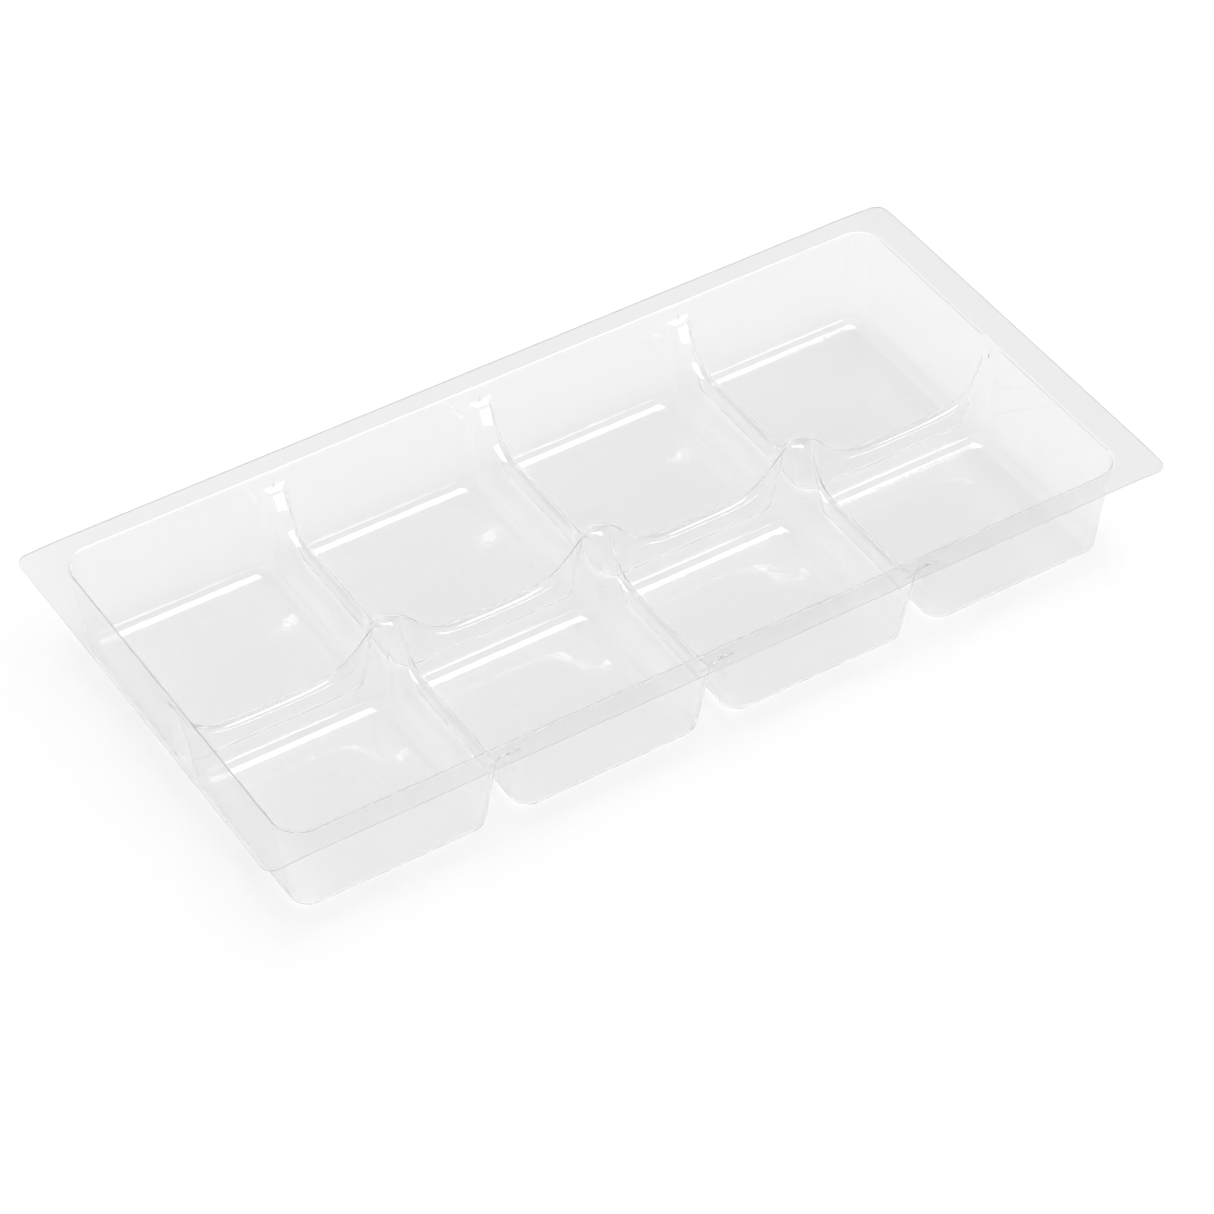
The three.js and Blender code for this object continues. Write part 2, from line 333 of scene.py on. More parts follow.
@dataclass(frozen=True)
class CellPlan:
    """One cell's share of the flat sheet, as rings from the middle of its floor to its border.

    The sides are right, far, left and near, so that each lies a quarter turn after the last. A
    quarter is the corner between a side and the next. Sizes are in millimetres.
    """

    sides: tuple[CellSide, CellSide, CellSide, CellSide]
    corner: Taper
    inner_corner: Taper
    fillet: float
    rim_corner: float
    # A corner gets this much tighter for each millimetre that the outline is drawn in.
    tightening: float = 0.6
    # The steps along each corner's arc and each side, and how far they crowd: a side's towards its
    # corners, and the ones round a divider's corner towards the corner of the cell's share.
    arc_steps: int = 16
    side_steps: int = 20
    side_crowding: float = 0.75
    crossing_crowding: float = 1.8
    # The share of a rounded outside corner's points that lie on the straight lead at each end.
    lead: float = 0.25
    # Where the rings lie: on the floor, round its edge in degrees, up the wall and closest at the
    # height of the ridges' tops, out to the mouth line, and from there to the border.
    floor_shares: tuple[float, ...] = (0.2, 0.45, 0.7, 0.9)
    fillet_turns: tuple[float, ...] = (0.0, 18.0, 36.0, 54.0, 72.0, 90.0)
    lower_wall_shares: tuple[float, ...] = (0.16, 0.27, 0.35, 0.39, 0.41, 0.43, 0.455, 0.485)
    upper_wall_shares: tuple[float, ...] = (0.52, 0.57, 0.64, 0.73, 0.83, 0.92, 0.97, 1.0)
    ridge_steps: tuple[float, ...] = (0.14, 0.28, 0.42, 0.56, 0.7, 0.82, 0.91, 0.97, 1.0)
    rim_steps: tuple[float, ...] = (0.005, 0.022, 0.048, 0.082, 0.12, 0.165, 0.4, 0.7, 1.0)

    def outline(self, share: float, inset: float = 0.0) -> Ring:
        """The cell's rounded outline, anticlockwise.

        Args:
            share: The share of the way up the cell.
            inset: How far the outline is drawn in.

        Returns:
            The points, with each corner's arc before the side that follows it.
        """
        right, far, left, near = (side.wall.at(share) for side in self.sides)
        corners = ((right, far, 1, 1), (left, far, -1, 1), (left, near, -1, -1), (right, near, 1, -1))
        arcs: list[Ring] = []
        for quarter, (x, y, way_x, way_y) in enumerate(corners):
            taper = self.corner if all(self.rims(quarter)) else self.inner_corner
            radius = taper.at(share) - inset * self.tightening
            centre = (x - way_x * (inset + radius), y - way_y * (inset + radius))
            turns = [quarter + k / self.arc_steps for k in range(self.arc_steps + 1)]
            arcs.append([on_arc(centre, radius, turn) for turn in turns])
        ring: Ring = []
        for arc, after in zip(arcs, arcs[1:] + arcs[:1]):
            ring += arc
            ring += [between(arc[-1], after[0], along) for along in self.side_shares()]
        return ring

    def side_shares(self) -> list[float]:
        """Where the points of a straight side lie, closer together towards its two ends."""
        turns = [2 * math.pi * k / self.side_steps for k in range(1, self.side_steps)]
        return [(turn - self.side_crowding * math.sin(turn)) / (2 * math.pi) for turn in turns]

    def rims(self, quarter: int) -> tuple[bool, bool]:
        """Whether the rim lies beyond each of the two sides that meet at a corner."""
        return self.sides[quarter].edge is Edge.RIM, self.sides[(quarter + 1) % 4].edge is Edge.RIM

    def corner_points(self, ring: Ring, quarter: int) -> Ring:
        """The points of a ring that lie on one of its rounded corners."""
        first = quarter * (self.arc_steps + self.side_steps)
        return ring[first : first + self.arc_steps + 1]

    def side_points(self, ring: Ring, side: int) -> Ring:
        """The points of a ring that lie along one side, between its two corners.

        Args:
            ring: The ring.
            side: The side's number.

        Returns:
            The points.
        """
        quarter = (side - 1) % 4
        first = quarter * (self.arc_steps + self.side_steps) + self.arc_steps + 1
        return ring[first : first + self.side_steps - 1]

    def project(self, point: Point, side: int, edge: Edge | None = None) -> Point:
        """The point straight out from a point, on one side's border or on the top of its wall.

        Args:
            point: The point to start from.
            side: The side's number.
            edge: What must lie beyond the side for the top of its wall to be taken.

        Returns:
            The point on the side's border or wall.
        """
        plan = self.sides[side]
        line = plan.wall.rim if plan.edge is edge else plan.border
        return (line, point[1]) if side % 2 == 0 else (point[0], line)

    def mouth_line(self, mouth: Ring) -> Ring:
        """Carries the cell's outline out to the outer walls' tops and the lines between two cells.

        Args:
            mouth: The outline at the rim's height.

        Returns:
            Where each of its points ends up.
        """
        ring: Ring = []
        for quarter in range(4):
            after = (quarter + 1) % 4
            arc = self.corner_points(mouth, quarter)
            start, end = self.project(arc[0], quarter, Edge.RIM), self.project(arc[-1], after, Edge.RIM)
            corner = self.project(start, after, Edge.RIM)
            if all(self.rims(quarter)):
                ring += arc
            else:
                half = self.arc_steps // 2
                steps = [1 - (1 - k / half) ** self.crossing_crowding for k in range(half + 1)]
                ring += [between(start, corner, step) for step in steps]
                ring += [between(end, corner, step) for step in steps[-2::-1]]
            ring += [self.project(point, after, Edge.RIM) for point in self.side_points(mouth, after)]
        return ring

    def border(self, line: Ring) -> Ring:
        """Carries the mouth line out to the border of the cell's share.

        Args:
            line: The mouth line.

        Returns:
            Where each of its points ends up.
        """
        ring: Ring = []
        for quarter in range(4):
            after = (quarter + 1) % 4
            arc = self.corner_points(line, quarter)
            rims = self.rims(quarter)
            start, end = self.project(arc[0], quarter), self.project(arc[-1], after)
            corner = self.project(start, after)
            for k, point in enumerate(arc):
                if all(rims):
                    point = self.round_corner(start, corner, end, k / self.arc_steps, quarter)
                elif rims[0] and 2 * k <= self.arc_steps:
                    point = self.project(point, quarter)
                elif rims[1] and 2 * k >= self.arc_steps:
                    point = self.project(point, after)
                ring.append(point)
            ring += [self.project(point, after) for point in self.side_points(line, after)]
        return ring

    def round_corner(self, start: Point, corner: Point, end: Point, turn: float, quarter: int) -> Point:
        """A point on the tray's rounded outside corner, with a straight lead on each side of it.

        Args:
            start: Where the first lead begins.
            corner: Where the two sides would meet if the corner were sharp.
            end: Where the second lead ends.
            turn: How far round the point lies, from 0 at the start to 1 at the end.
            quarter: The corner's number.

        Returns:
            The point.
        """
        inwards = [math.copysign(self.rim_corner, corner[i] - (start, end)[1 - i][i]) for i in (0, 1)]
        centre = (corner[0] - inwards[0], corner[1] - inwards[1])
        if turn < self.lead:
            return between(start, on_arc(centre, self.rim_corner, quarter), turn / self.lead)
        if turn > 1 - self.lead:
            return between(end, on_arc(centre, self.rim_corner, quarter + 1), (1 - turn) / self.lead)
        return on_arc(centre, self.rim_corner, quarter + (turn - self.lead) / (1 - 2 * self.lead))

    def rings(self) -> Iterator[Ring]:
        """Lays out the rings.

        Yields:
            Each ring, innermost first, without the middle point.
        """
        floor = self.outline(0.0, self.fillet)
        middle = self.middle()
        for share in self.floor_shares:
            yield [between(middle, point, share) for point in floor]
        for turn in self.fillet_turns:
            yield self.outline(0.0, self.fillet * (1 - math.sin(math.radians(turn))))
        for share in self.lower_wall_shares + self.upper_wall_shares:
            yield self.outline(share)
        mouth = self.outline(1.0)
        line = self.mouth_line(mouth)
        border = self.border(line)
        for step in self.ridge_steps:
            yield [between(a, b, step) for a, b in zip(mouth, line)]
        for step in self.rim_steps:
            yield [between(a, b, step) for a, b in zip(line, border)]

    def middle(self) -> Point:
        """The middle of the cell's floor."""
        right, far, left, near = (side.wall.at(0.0) for side in self.sides)
        return (right + left) / 2, (far + near) / 2


def on_arc(centre: Point, radius: float, quarters: float) -> Point:
    """The point of a circle a number of quarter turns round from its right."""
    angle = quarters * math.pi / 2
    return centre[0] + radius * math.cos(angle), centre[1] + radius * math.sin(angle)


def between(a: Point, b: Point, share: float) -> Point:
    """The point a share of the way from one point to another."""
    return a[0] + (b[0] - a[0]) * share, a[1] + (b[1] - a[1]) * share


class Blank:
    """The flat sheet before it is formed, as one mesh of welded cells, in millimetres."""

    # Points that agree to this many decimals are one vertex, and no face is smaller than this.
    DECIMALS = 4
    LEAST_AREA = 0.5e-5

    def __init__(self) -> None:
        """Starts with no vertices and no faces."""
        self.numbers: dict[Point, int] = {}
        self.places: Ring = []
        self.faces: list[list[int]] = []

    def vertex(self, point: Point, mirror: Point) -> int:
        """Finds the vertex at a mirrored point, or makes it if it isn't there yet.

        Args:
            point: The point, in the quarter of the sheet where x and y are positive.
            mirror: 1 or -1 for x and for y.

        Returns:
            The vertex's number.
        """
        place = tuple(round(at * way, self.DECIMALS) for at, way in zip(point, mirror))
        if place not in self.numbers:
            self.numbers[place] = len(self.places)
            self.places.append(place)
        return self.numbers[place]

    def add_face(self, corners: list[int], turned: bool) -> None:
        """Adds one face, unless its corners have run together or lie on one line.

        Args:
            corners: The vertices' numbers, in order.
            turned: Whether the order has to be turned round, so that the face points up.
        """
        corners = list(dict.fromkeys(corners))
        points = [self.places[corner] for corner in corners]
        ends = zip(points, points[1:] + points[:1])
        if abs(sum(a[0] * b[1] - a[1] * b[0] for a, b in ends)) > 2 * self.LEAST_AREA:
            self.faces.append(corners[::-1] if turned else corners)

    def add_cell(self, plan: CellPlan, mirror: Point) -> None:
        """Adds one cell's share of the sheet.

        Args:
            plan: The cell, in the quarter of the sheet where x and y are positive.
            mirror: 1 or -1 for x and for y, to place it in another quarter.
        """
        turned = mirror[0] * mirror[1] < 0
        inner: list[int] | None = None
        middle = self.vertex(plan.middle(), mirror)
        for ring in plan.rings():
            outer = [self.vertex(point, mirror) for point in ring]
            for i, here in enumerate(outer):
                after = (i + 1) % len(outer)
                near = [middle] if inner is None else [inner[after], inner[i]]
                self.add_face([*near, here, outer[after]], turned)
            inner = outer

    def mesh(self, name: str) -> bpy.types.Mesh:
        """Makes the welded sheet a mesh.

        Args:
            name: The mesh's name.

        Returns:
            The mesh, in metres.
        """
        mesh = bpy.data.meshes.new(name)
        mesh.from_pydata([(x * MM, y * MM, 0.0) for x, y in self.places], [], self.faces)
        mesh.validate()
        return mesh


class FormingTree:
    """The Geometry Nodes tree that forms the flat sheet over its blocks."""

    # Each round halves the step, and after this many it is under a ten-thousandth of a millimetre.
    ROUNDS = 18
    # The step over which the ridges' slope is taken, and their least roundness, in millimetres.
    SLOPE_STEP = 0.3
    LEAST_ROUND = 0.08
    # Points closer than this are welded, in millimetres, and a fold sharper than this stays crisp,
    # in degrees.
    WELD = 0.001
    CRISP_FOLD = 40.0

    def __init__(self, sizes: FormingSizes, faces: bpy.types.Material, edge: bpy.types.Material) -> None:
        """Builds the tree, with one named input for each size.

        Args:
            sizes: The sizes, in millimetres.
            faces: The finish of the sheet's two faces.
            edge: The finish of its cut edge.
        """
        self.sizes = sizes
        self.tree = bpy.data.node_groups.new("form the sheet", "GeometryNodeTree")
        self.sockets = self.add_sockets()
        entry = add_node(self.tree, "NodeGroupInput")
        outputs = {output.identifier: output for output in entry.outputs}
        self.size = {name: self.field(outputs[s.identifier]) for name, s in self.sockets.items()}
        sheet = self.store_ridges(entry.outputs["Sheet"])
        sheet = self.let_down(sheet)
        sheet = self.ripple(sheet)
        sheet = self.thicken(sheet)
        sheet = self.dress(sheet, faces, edge)
        add_node(self.tree, "NodeGroupOutput", {"Sheet": sheet})

    def add_sockets(self) -> dict[str, bpy.types.NodeTreeInterfaceSocket]:
        """Adds the tree's inputs and its output.

        Returns:
            The input of each size, by the size's name.
        """
        face = self.tree.interface
        face.new_socket("Sheet", in_out="INPUT", socket_type="NodeSocketGeometry")
        sockets = {}
        for size in fields(self.sizes):
            label = size.name.replace("_", " ").capitalize()
            sockets[size.name] = face.new_socket(label, in_out="INPUT", socket_type="NodeSocketFloat")
        face.new_socket("Sheet", in_out="OUTPUT", socket_type="NodeSocketGeometry")
        return sockets

    def field(self, socket: bpy.types.NodeSocket) -> Field:
        """A socket of this tree as a field."""
        return Field(self.tree, socket)

    def named(self, name: str) -> Field:
        """A number that an earlier step stored on the sheet."""
        node = add_node(self.tree, "GeometryNodeInputNamedAttribute", {"Name": name}, data_type="FLOAT")
        return self.field(node.outputs["Attribute"])

    def store(
        self, sheet: bpy.types.NodeSocket, name: str, value: Field, domain: str = "POINT"
    ) -> bpy.types.NodeSocket:
        """Stores a number on the sheet's points or faces.

        Args:
            sheet: The sheet.
            name: The name that the number is stored under.
            value: The number.
            domain: POINT or FACE.

        Returns:
            The sheet with the number.
        """
        node = add_node(
            self.tree,
            "GeometryNodeStoreNamedAttribute",
            {"Geometry": sheet, "Name": name, "Value": value},
            data_type="FLOAT",
            domain=domain,
        )
        return node.outputs["Geometry"]

    def place(self) -> tuple[Field, Field, Field]:
        """Reads where each point is. All four quarters are alike, so x and y lose their sign.

        Returns:
            Distance from the middle along the tray, distance across it, and height.
        """
        position = add_node(self.tree, "GeometryNodeInputPosition")
        parts = add_node(self.tree, "ShaderNodeSeparateXYZ", {0: position.outputs[0]})
        x, y, z = (self.field(output) for output in parts.outputs)
        return abs(x), abs(y), z

    def taper(self, name: str) -> Taper:
        """The taper between two of the tree's inputs."""
        return Taper(self.size[name + "_floor"], self.size[name + "_rim"])

    def ridge_height(self, x: Field, y: Field) -> Field:
        """Height that the ridges between the cells would have over every point.

        Args:
            x: Distance from the middle along the tray.
            y: Distance from the middle across it.

        Returns:
            The crests' own heights, the peaks where they cross and the climb into the outer walls.
        """
        s = self.size
        aside = x.most(abs(x - s["pitch"]))
        from_long = 1.0 - (-0.5 * (y / s["peak_run_y"]) ** 2).exp()
        base = s["long_crest"] + (s["cross_crest"] - s["long_crest"]) * from_long
        along_x = (across(aside, s["crease"]) - s["crease"]) / s["peak_run_x"]
        along_y = (across(y, s["crease"]) - s["crease"]) / s["peak_run_y"]
        peak = (s["peak_height"] - base) * (-0.5 * (along_x + along_y) ** 2).exp()
        to_side = (s["side_wall_rim"] - y).least(0.0)
        to_end = (s["end_wall_rim"] - x).least(0.0)
        climb = s["wall_rise"] * ((-to_side / s["wall_run"]).exp() + (-to_end / s["wall_run"]).exp())
        height = base + peak + climb
        return (height + s["gusset_top"] - across(height - s["gusset_top"], s["gusset_bend"])) / 2.0

    def store_ridges(self, sheet: bpy.types.NodeSocket) -> bpy.types.NodeSocket:
        """Stores what the ridges are like over each point: height, lean and roundness.

        Args:
            sheet: The flat sheet.

        Returns:
            The sheet with the three numbers. The lean is the cosine of the ridge's slope, which turns
            a height over the ridge into a distance from it.
        """
        s = self.size
        x, y, _ = self.place()
        step = self.SLOPE_STEP * MM
        height = self.ridge_height(x, y)
        slope_x = (self.ridge_height(x + step, y) - height) / step
        slope_y = (self.ridge_height(x, y + step) - height) / step
        sheet = self.store(sheet, "ridge height", height)
        sheet = self.store(sheet, "ridge lean", (1.0 + slope_x * slope_x + slope_y * slope_y) ** -0.5)
        aside = x.most(abs(x - s["pitch"]))
        beside_cross = (-((aside / s["flank"]) ** 4)).exp()
        beside_long = (-((y / s["flank"]) ** 4)).exp()
        to_side = (s["side_wall_rim"] - y) / s["gusset_run"]
        to_end = (s["end_wall_rim"] - x) / s["gusset_run"]
        at_wall = (-(to_side * to_side)).exp() + (-(to_end * to_end)).exp()
        at_peak = (-((aside * aside + y * y) / (s["flank"] * s["flank"]))).exp()
        roundness = s["cross_round"] * beside_cross * (1.0 - beside_long) + s["long_round"] * beside_long
        roundness = roundness + (s["gusset_round"] - roundness) * at_wall.most(1.0)
        roundness = roundness + (s["peak_round"] - roundness) * at_peak
        return self.store(sheet, "ridge round", roundness + self.LEAST_ROUND * MM)

    def space_inside(self, x: Field, y: Field, z: Field) -> Field:
        """Distance outside the space in and above the tray, negative inside it.

        Args:
            x: Distance from the middle along the tray.
            y: Distance from the middle across it.
            z: Height above the ground.

        Returns:
            Nought on the sheet's upper face.
        """
        s = self.size
        share = (z - s["floor_gauge"]) / (s["rim_height"] - s["floor_gauge"])
        gap_x, gap_y = self.taper("cross_gap").at(share), self.taper("long_gap").at(share)
        end, side = self.taper("end_wall").at(share), self.taper("side_wall").at(share)
        corner = self.taper("corner").at(share)
        inner_corner = self.taper("inner_corner").at(share)
        outer = x.above(s["pitch"])
        # Past the middle of the outer cell both ways, the corner is one of the tray's own four.
        outside = x.above(s["pitch"] * 1.5) * y.above(s["side_wall_rim"] * 0.5)
        left = gap_x + outer * s["pitch"]
        right = (s["pitch"] - gap_x) * (1.0 - outer) + end * outer
        cell = rounded_box(
            x - (left + right) / 2.0,
            y - (gap_y + side) / 2.0,
            (right - left) / 2.0,
            (side - gap_y) / 2.0,
            inner_corner + (corner - inner_corner) * outside,
        )
        cell = shared(cell, s["floor_gauge"] - z, s["floor_fillet"])
        over = (self.named("ridge height") - z) * self.named("ridge lean")
        mouth = rounded_box(x, y, end, side, corner)
        inside = shared(joined(cell, over, self.named("ridge round")), mouth, s["foot_round"])
        past = mouth.least(0.0)
        rim = s["rim_height"] - s["rim_droop"] * past * past / (s["rim_width"] * s["rim_width"])
        return joined(inside, rim - z, s["mouth_bend"])

    def let_down(self, sheet: bpy.types.NodeSocket) -> bpy.types.NodeSocket:
        """Lowers the sheet until it lies on its blocks, halving the step each round.

        Args:
            sheet: The flat sheet.

        Returns:
            The sheet's upper face, formed.
        """
        start = add_node(self.tree, "ShaderNodeCombineXYZ", {"Z": self.size["rim_height"] * 0.5})
        inputs = {"Geometry": sheet, "Offset": start.outputs[0]}
        lifted = add_node(self.tree, "GeometryNodeSetPosition", inputs)
        entry = self.tree.nodes.new("GeometryNodeRepeatInput")
        leave = self.tree.nodes.new("GeometryNodeRepeatOutput")
        entry.pair_with_output(leave)
        entry.inputs["Iterations"].default_value = self.ROUNDS
        self.tree.links.new(lifted.outputs[0], entry.inputs["Geometry"])
        x, y, z = self.place()
        under = self.space_inside(x, y, z).above(0.0)
        turn = self.field(entry.outputs["Iteration"])
        step = self.size["rim_height"] * 0.25 * self.half_to(turn)
        move = add_node(self.tree, "ShaderNodeCombineXYZ", {"Z": (2.0 * under - 1.0) * step})
        inputs = {"Geometry": entry.outputs["Geometry"], "Offset": move.outputs[0]}
        moved = add_node(self.tree, "GeometryNodeSetPosition", inputs)
        self.tree.links.new(moved.outputs[0], leave.inputs["Geometry"])
        return leave.outputs["Geometry"]

    def half_to(self, power: Field) -> Field:
        """A half, multiplied by itself a number of times."""
        return (power * -math.log(2.0)).exp()

    def ripple(self, sheet: bpy.types.NodeSocket) -> bpy.types.NodeSocket:
        """Lets the sheet ripple along its normals, as it does where it isn't drawn tight.

        Args:
            sheet: The formed upper face.

        Returns:
            The same face, rippled.
        """
        inputs = {
            "Vector": add_node(self.tree, "GeometryNodeInputPosition").outputs[0],
            # Every input of the tree is given in metres, and the seed is a plain number again here.
            "W": self.size["ripple_seed"] / MM,
            "Scale": self.size["ripple_spacing"] ** -1.0,
            "Detail": 1.0,
        }
        noise = add_node(self.tree, "ShaderNodeTexNoise", inputs, noise_dimensions="4D")
        height = (self.field(noise.outputs[0]) - 0.5) * self.size["ripple_height"] * 2.0
        normal = add_node(self.tree, "GeometryNodeInputNormal")
        inputs = {0: normal.outputs[0], "Scale": height}
        offset = add_node(self.tree, "ShaderNodeVectorMath", inputs, operation="SCALE")
        inputs = {"Geometry": sheet, "Offset": offset.outputs[0]}
        return add_node(self.tree, "GeometryNodeSetPosition", inputs).outputs[0]

    def thicken(self, sheet: bpy.types.NodeSocket) -> bpy.types.NodeSocket:
        """Gives the sheet its gauge, which is less where it was drawn deeper, and closes its edge.

        Args:
            sheet: The formed upper face.

        Returns:
            The whole sheet, closed.
        """
        _, _, z = self.place()
        share = z / self.size["rim_height"]
        gauge = Taper(self.size["floor_gauge"], self.size["rim_gauge"])
        # With the share squared, most of the thinning is near the rim.
        inputs = {"Mesh": sheet, "Offset Scale": -gauge.at(share * share), "Individual": False}
        under = add_node(self.tree, "GeometryNodeExtrudeMesh", inputs, mode="FACES")
        marked = self.store(under.outputs["Mesh"], "cut edge", self.field(under.outputs["Side"]), "FACE")
        turned = add_node(self.tree, "GeometryNodeFlipFaces", {"Mesh": marked})
        both = add_node(self.tree, "GeometryNodeJoinGeometry")
        self.tree.links.new(turned.outputs[0], both.inputs[0])
        self.tree.links.new(sheet, both.inputs[0])
        inputs = {"Geometry": both.outputs[0], "Distance": self.WELD * MM}
        return add_node(self.tree, "GeometryNodeMergeByDistance", inputs).outputs[0]

    def dress(
        self, sheet: bpy.types.NodeSocket, faces: bpy.types.Material, edge: bpy.types.Material
    ) -> bpy.types.NodeSocket:
        """Shades the sheet smooth but for its sharpest folds, and gives it its finishes.

        Args:
            sheet: The whole sheet.
            faces: The finish of its two faces.
            edge: The finish of its cut edge.

        Returns:
            The finished sheet.
        """
        smooth = add_node(self.tree, "GeometryNodeSetShadeSmooth", {"Geometry": sheet})
        fold = self.field(add_node(self.tree, "GeometryNodeInputMeshEdgeAngle").outputs[0])
        sharp = fold.above(math.radians(self.CRISP_FOLD))
        inputs = {"Geometry": smooth.outputs[0], "Selection": sharp, "Shade Smooth": False}
        crisp = add_node(self.tree, "GeometryNodeSetShadeSmooth", inputs, domain="EDGE")
        whole = add_node(self.tree, "GeometryNodeRealizeInstances", {"Geometry": crisp.outputs[0]})
        inputs = {"Geometry": whole.outputs[0], "Material": faces}
        faced = add_node(self.tree, "GeometryNodeSetMaterial", inputs)
        inputs = {"Geometry": faced.outputs[0], "Material": edge, "Selection": self.named("cut edge")}
        return add_node(self.tree, "GeometryNodeSetMaterial", inputs).outputs[0]

    def form(self, name: str, blank: bpy.types.Mesh) -> bpy.types.Object:
        """Forms a flat sheet.

        Args:
            name: The finished piece's name.
            blank: The flat sheet's mesh.

        Returns:
            The formed sheet, as a plain mesh with no modifier.
        """
        piece = bpy.data.objects.new(name, blank)
        bpy.context.scene.collection.objects.link(piece)
        modifier = piece.modifiers.new("form", "NODES")
        modifier.node_group = self.tree
        for size_name, socket in self.sockets.items():
            modifier[socket.identifier] = getattr(self.sizes, size_name) * MM
        formed = piece.evaluated_get(bpy.context.evaluated_depsgraph_get())
        piece_mesh = bpy.data.meshes.new_from_object(formed)
        piece.modifiers.clear()
        piece.data = piece_mesh
        return piece


@dataclass(frozen=True)
class ClearSheet:
    """Clear PVC sheet, thermoformed.

    The calendered sheet is glassy and colourless, so the eye sees it by its bends and edges. The
    blocks leave a faint orange peel on the cell floors, which rest hard on them, and hardly any on
    the walls, which are drawn down over them.
    """

    name: str = "clear thermoformed PVC"
    colour: str = "FEFEFE"
    ior: float = 1.54
    roughness: float = 0.05
    peel_spacing: float = 2.0
    peel_depth: float = 0.05
    # The peel fades to this share over these heights, in millimetres.
    wall_peel: float = 0.15
    floor_zone: tuple[float, float] = (1.0, 4.0)

    def material(self) -> bpy.types.Material:
        """Makes the finish.

        Returns:
            The node material.
        """
        material = empty_material(self.name)
        tree = material.node_tree
        where = add_node(tree, "ShaderNodeTexCoord").outputs["Object"]
        inputs = {"Vector": where, "Scale": 1.0 / (self.peel_spacing * MM), "Detail": 1.0}
        peel = add_node(tree, "ShaderNodeTexNoise", inputs)
        height = add_node(tree, "ShaderNodeSeparateXYZ", {0: where}).outputs["Z"]
        low, high = (edge * MM for edge in self.floor_zone)
        inputs = {"Value": height, 1: low, 2: high, 3: 1.0, 4: self.wall_peel}
        strength = add_node(tree, "ShaderNodeMapRange", inputs).outputs[0]
        inputs = {"Height": peel.outputs[0], "Strength": strength, "Distance": self.peel_depth * MM}
        bump = add_node(tree, "ShaderNodeBump", inputs)
        inputs = {
            "Base Color": linear(self.colour),
            "Roughness": self.roughness,
            "IOR": self.ior,
            "Transmission Weight": 1.0,
            "Normal": bump.outputs[0],
        }
        shader = add_node(tree, "ShaderNodeBsdfPrincipled", inputs)
        add_node(tree, "ShaderNodeOutputMaterial", {"Surface": shader.outputs[0]})
        return material


@dataclass(frozen=True)
class ShearedEdge:
    """The sheet's edge as a shear leaves it: the same PVC, but frosted, so it glows pale."""

    name: str = "sheared PVC edge"
    colour: str = "EDEFEF"
    ior: float = 1.54
    roughness: float = 0.6
    transmission: float = 0.3

    def material(self) -> bpy.types.Material:
        """Makes the finish.

        Returns:
            The node material.
        """
        material = empty_material(self.name)
        tree = material.node_tree
        inputs = {
            "Base Color": linear(self.colour),
            "Roughness": self.roughness,
            "IOR": self.ior,
            "Transmission Weight": self.transmission,
        }
        shader = add_node(tree, "ShaderNodeBsdfPrincipled", inputs)
        add_node(tree, "ShaderNodeOutputMaterial", {"Surface": shader.outputs[0]})
        return material


@dataclass
class Tray:
    """The tray: one formed sheet with two rows of four cells. Its sizes are in millimetres."""

    sizes: FormingSizes
    half_length: float
    half_width: float
    rim_corner: float = 3.0

    @classmethod
    def from_frame(cls) -> "Tray":
        """Makes a tray that is as long, wide and high as the frame, with its peaks in the same places.

        Returns:
            The tray.
        """
        high = CAD_BOX[1] / MM
        peak_left, peak_right = (corner.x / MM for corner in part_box("peak_3"))
        pitch = round((peak_left + peak_right) / 2, 3)
        return cls(FormingSizes(rim_height=high.z, pitch=pitch), high.x, high.y)

    def plan(self, outer: bool) -> CellPlan:
        """Plans the inner or the outer cell of the back row's right half.

        Args:
            outer: Whether it is the cell at the tray's end.

        Returns:
            The cell's plan.
        """
        gap, pitch = self.sizes.taper("cross_gap"), self.sizes.pitch
        start = pitch if outer else 0.0
        left = CellSide(Taper(start + gap.floor, start + gap.rim), start, Edge.DIVIDER)
        near = CellSide(self.sizes.taper("long_gap"), 0.0, Edge.DIVIDER)
        far = CellSide(self.sizes.taper("side_wall"), self.half_width, Edge.RIM)
        if outer:
            right = CellSide(self.sizes.taper("end_wall"), self.half_length, Edge.RIM)
        else:
            right = CellSide(Taper(pitch - gap.floor, pitch - gap.rim), pitch, Edge.DIVIDER)
        sides = (right, far, left, near)
        corners = (self.sizes.taper("corner"), self.sizes.taper("inner_corner"))
        return CellPlan(sides, *corners, self.sizes.floor_fillet, self.rim_corner)

    def blank(self) -> bpy.types.Mesh:
        """Lays out the flat sheet cell by cell.

        Returns:
            Its mesh.
        """
        blank = Blank()
        for outer in (False, True):
            plan = self.plan(outer)
            for mirror in ((1, 1), (-1, 1), (-1, -1), (1, -1)):
                blank.add_cell(plan, mirror)
        return blank.mesh("flat sheet")

    def build(self, finish: ClearSheet, edge: ShearedEdge) -> bpy.types.Object:
        """Forms the sheet and ties it to the frame.

        Args:
            finish: The finish of the sheet's two faces.
            edge: The finish of its cut edge.

        Returns:
            The piece.
        """
        tree = FormingTree(self.sizes, finish.material(), edge.material())
        piece = tree.form("tray_sheet", self.blank())
        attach(piece, "root")
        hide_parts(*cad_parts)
        return piece


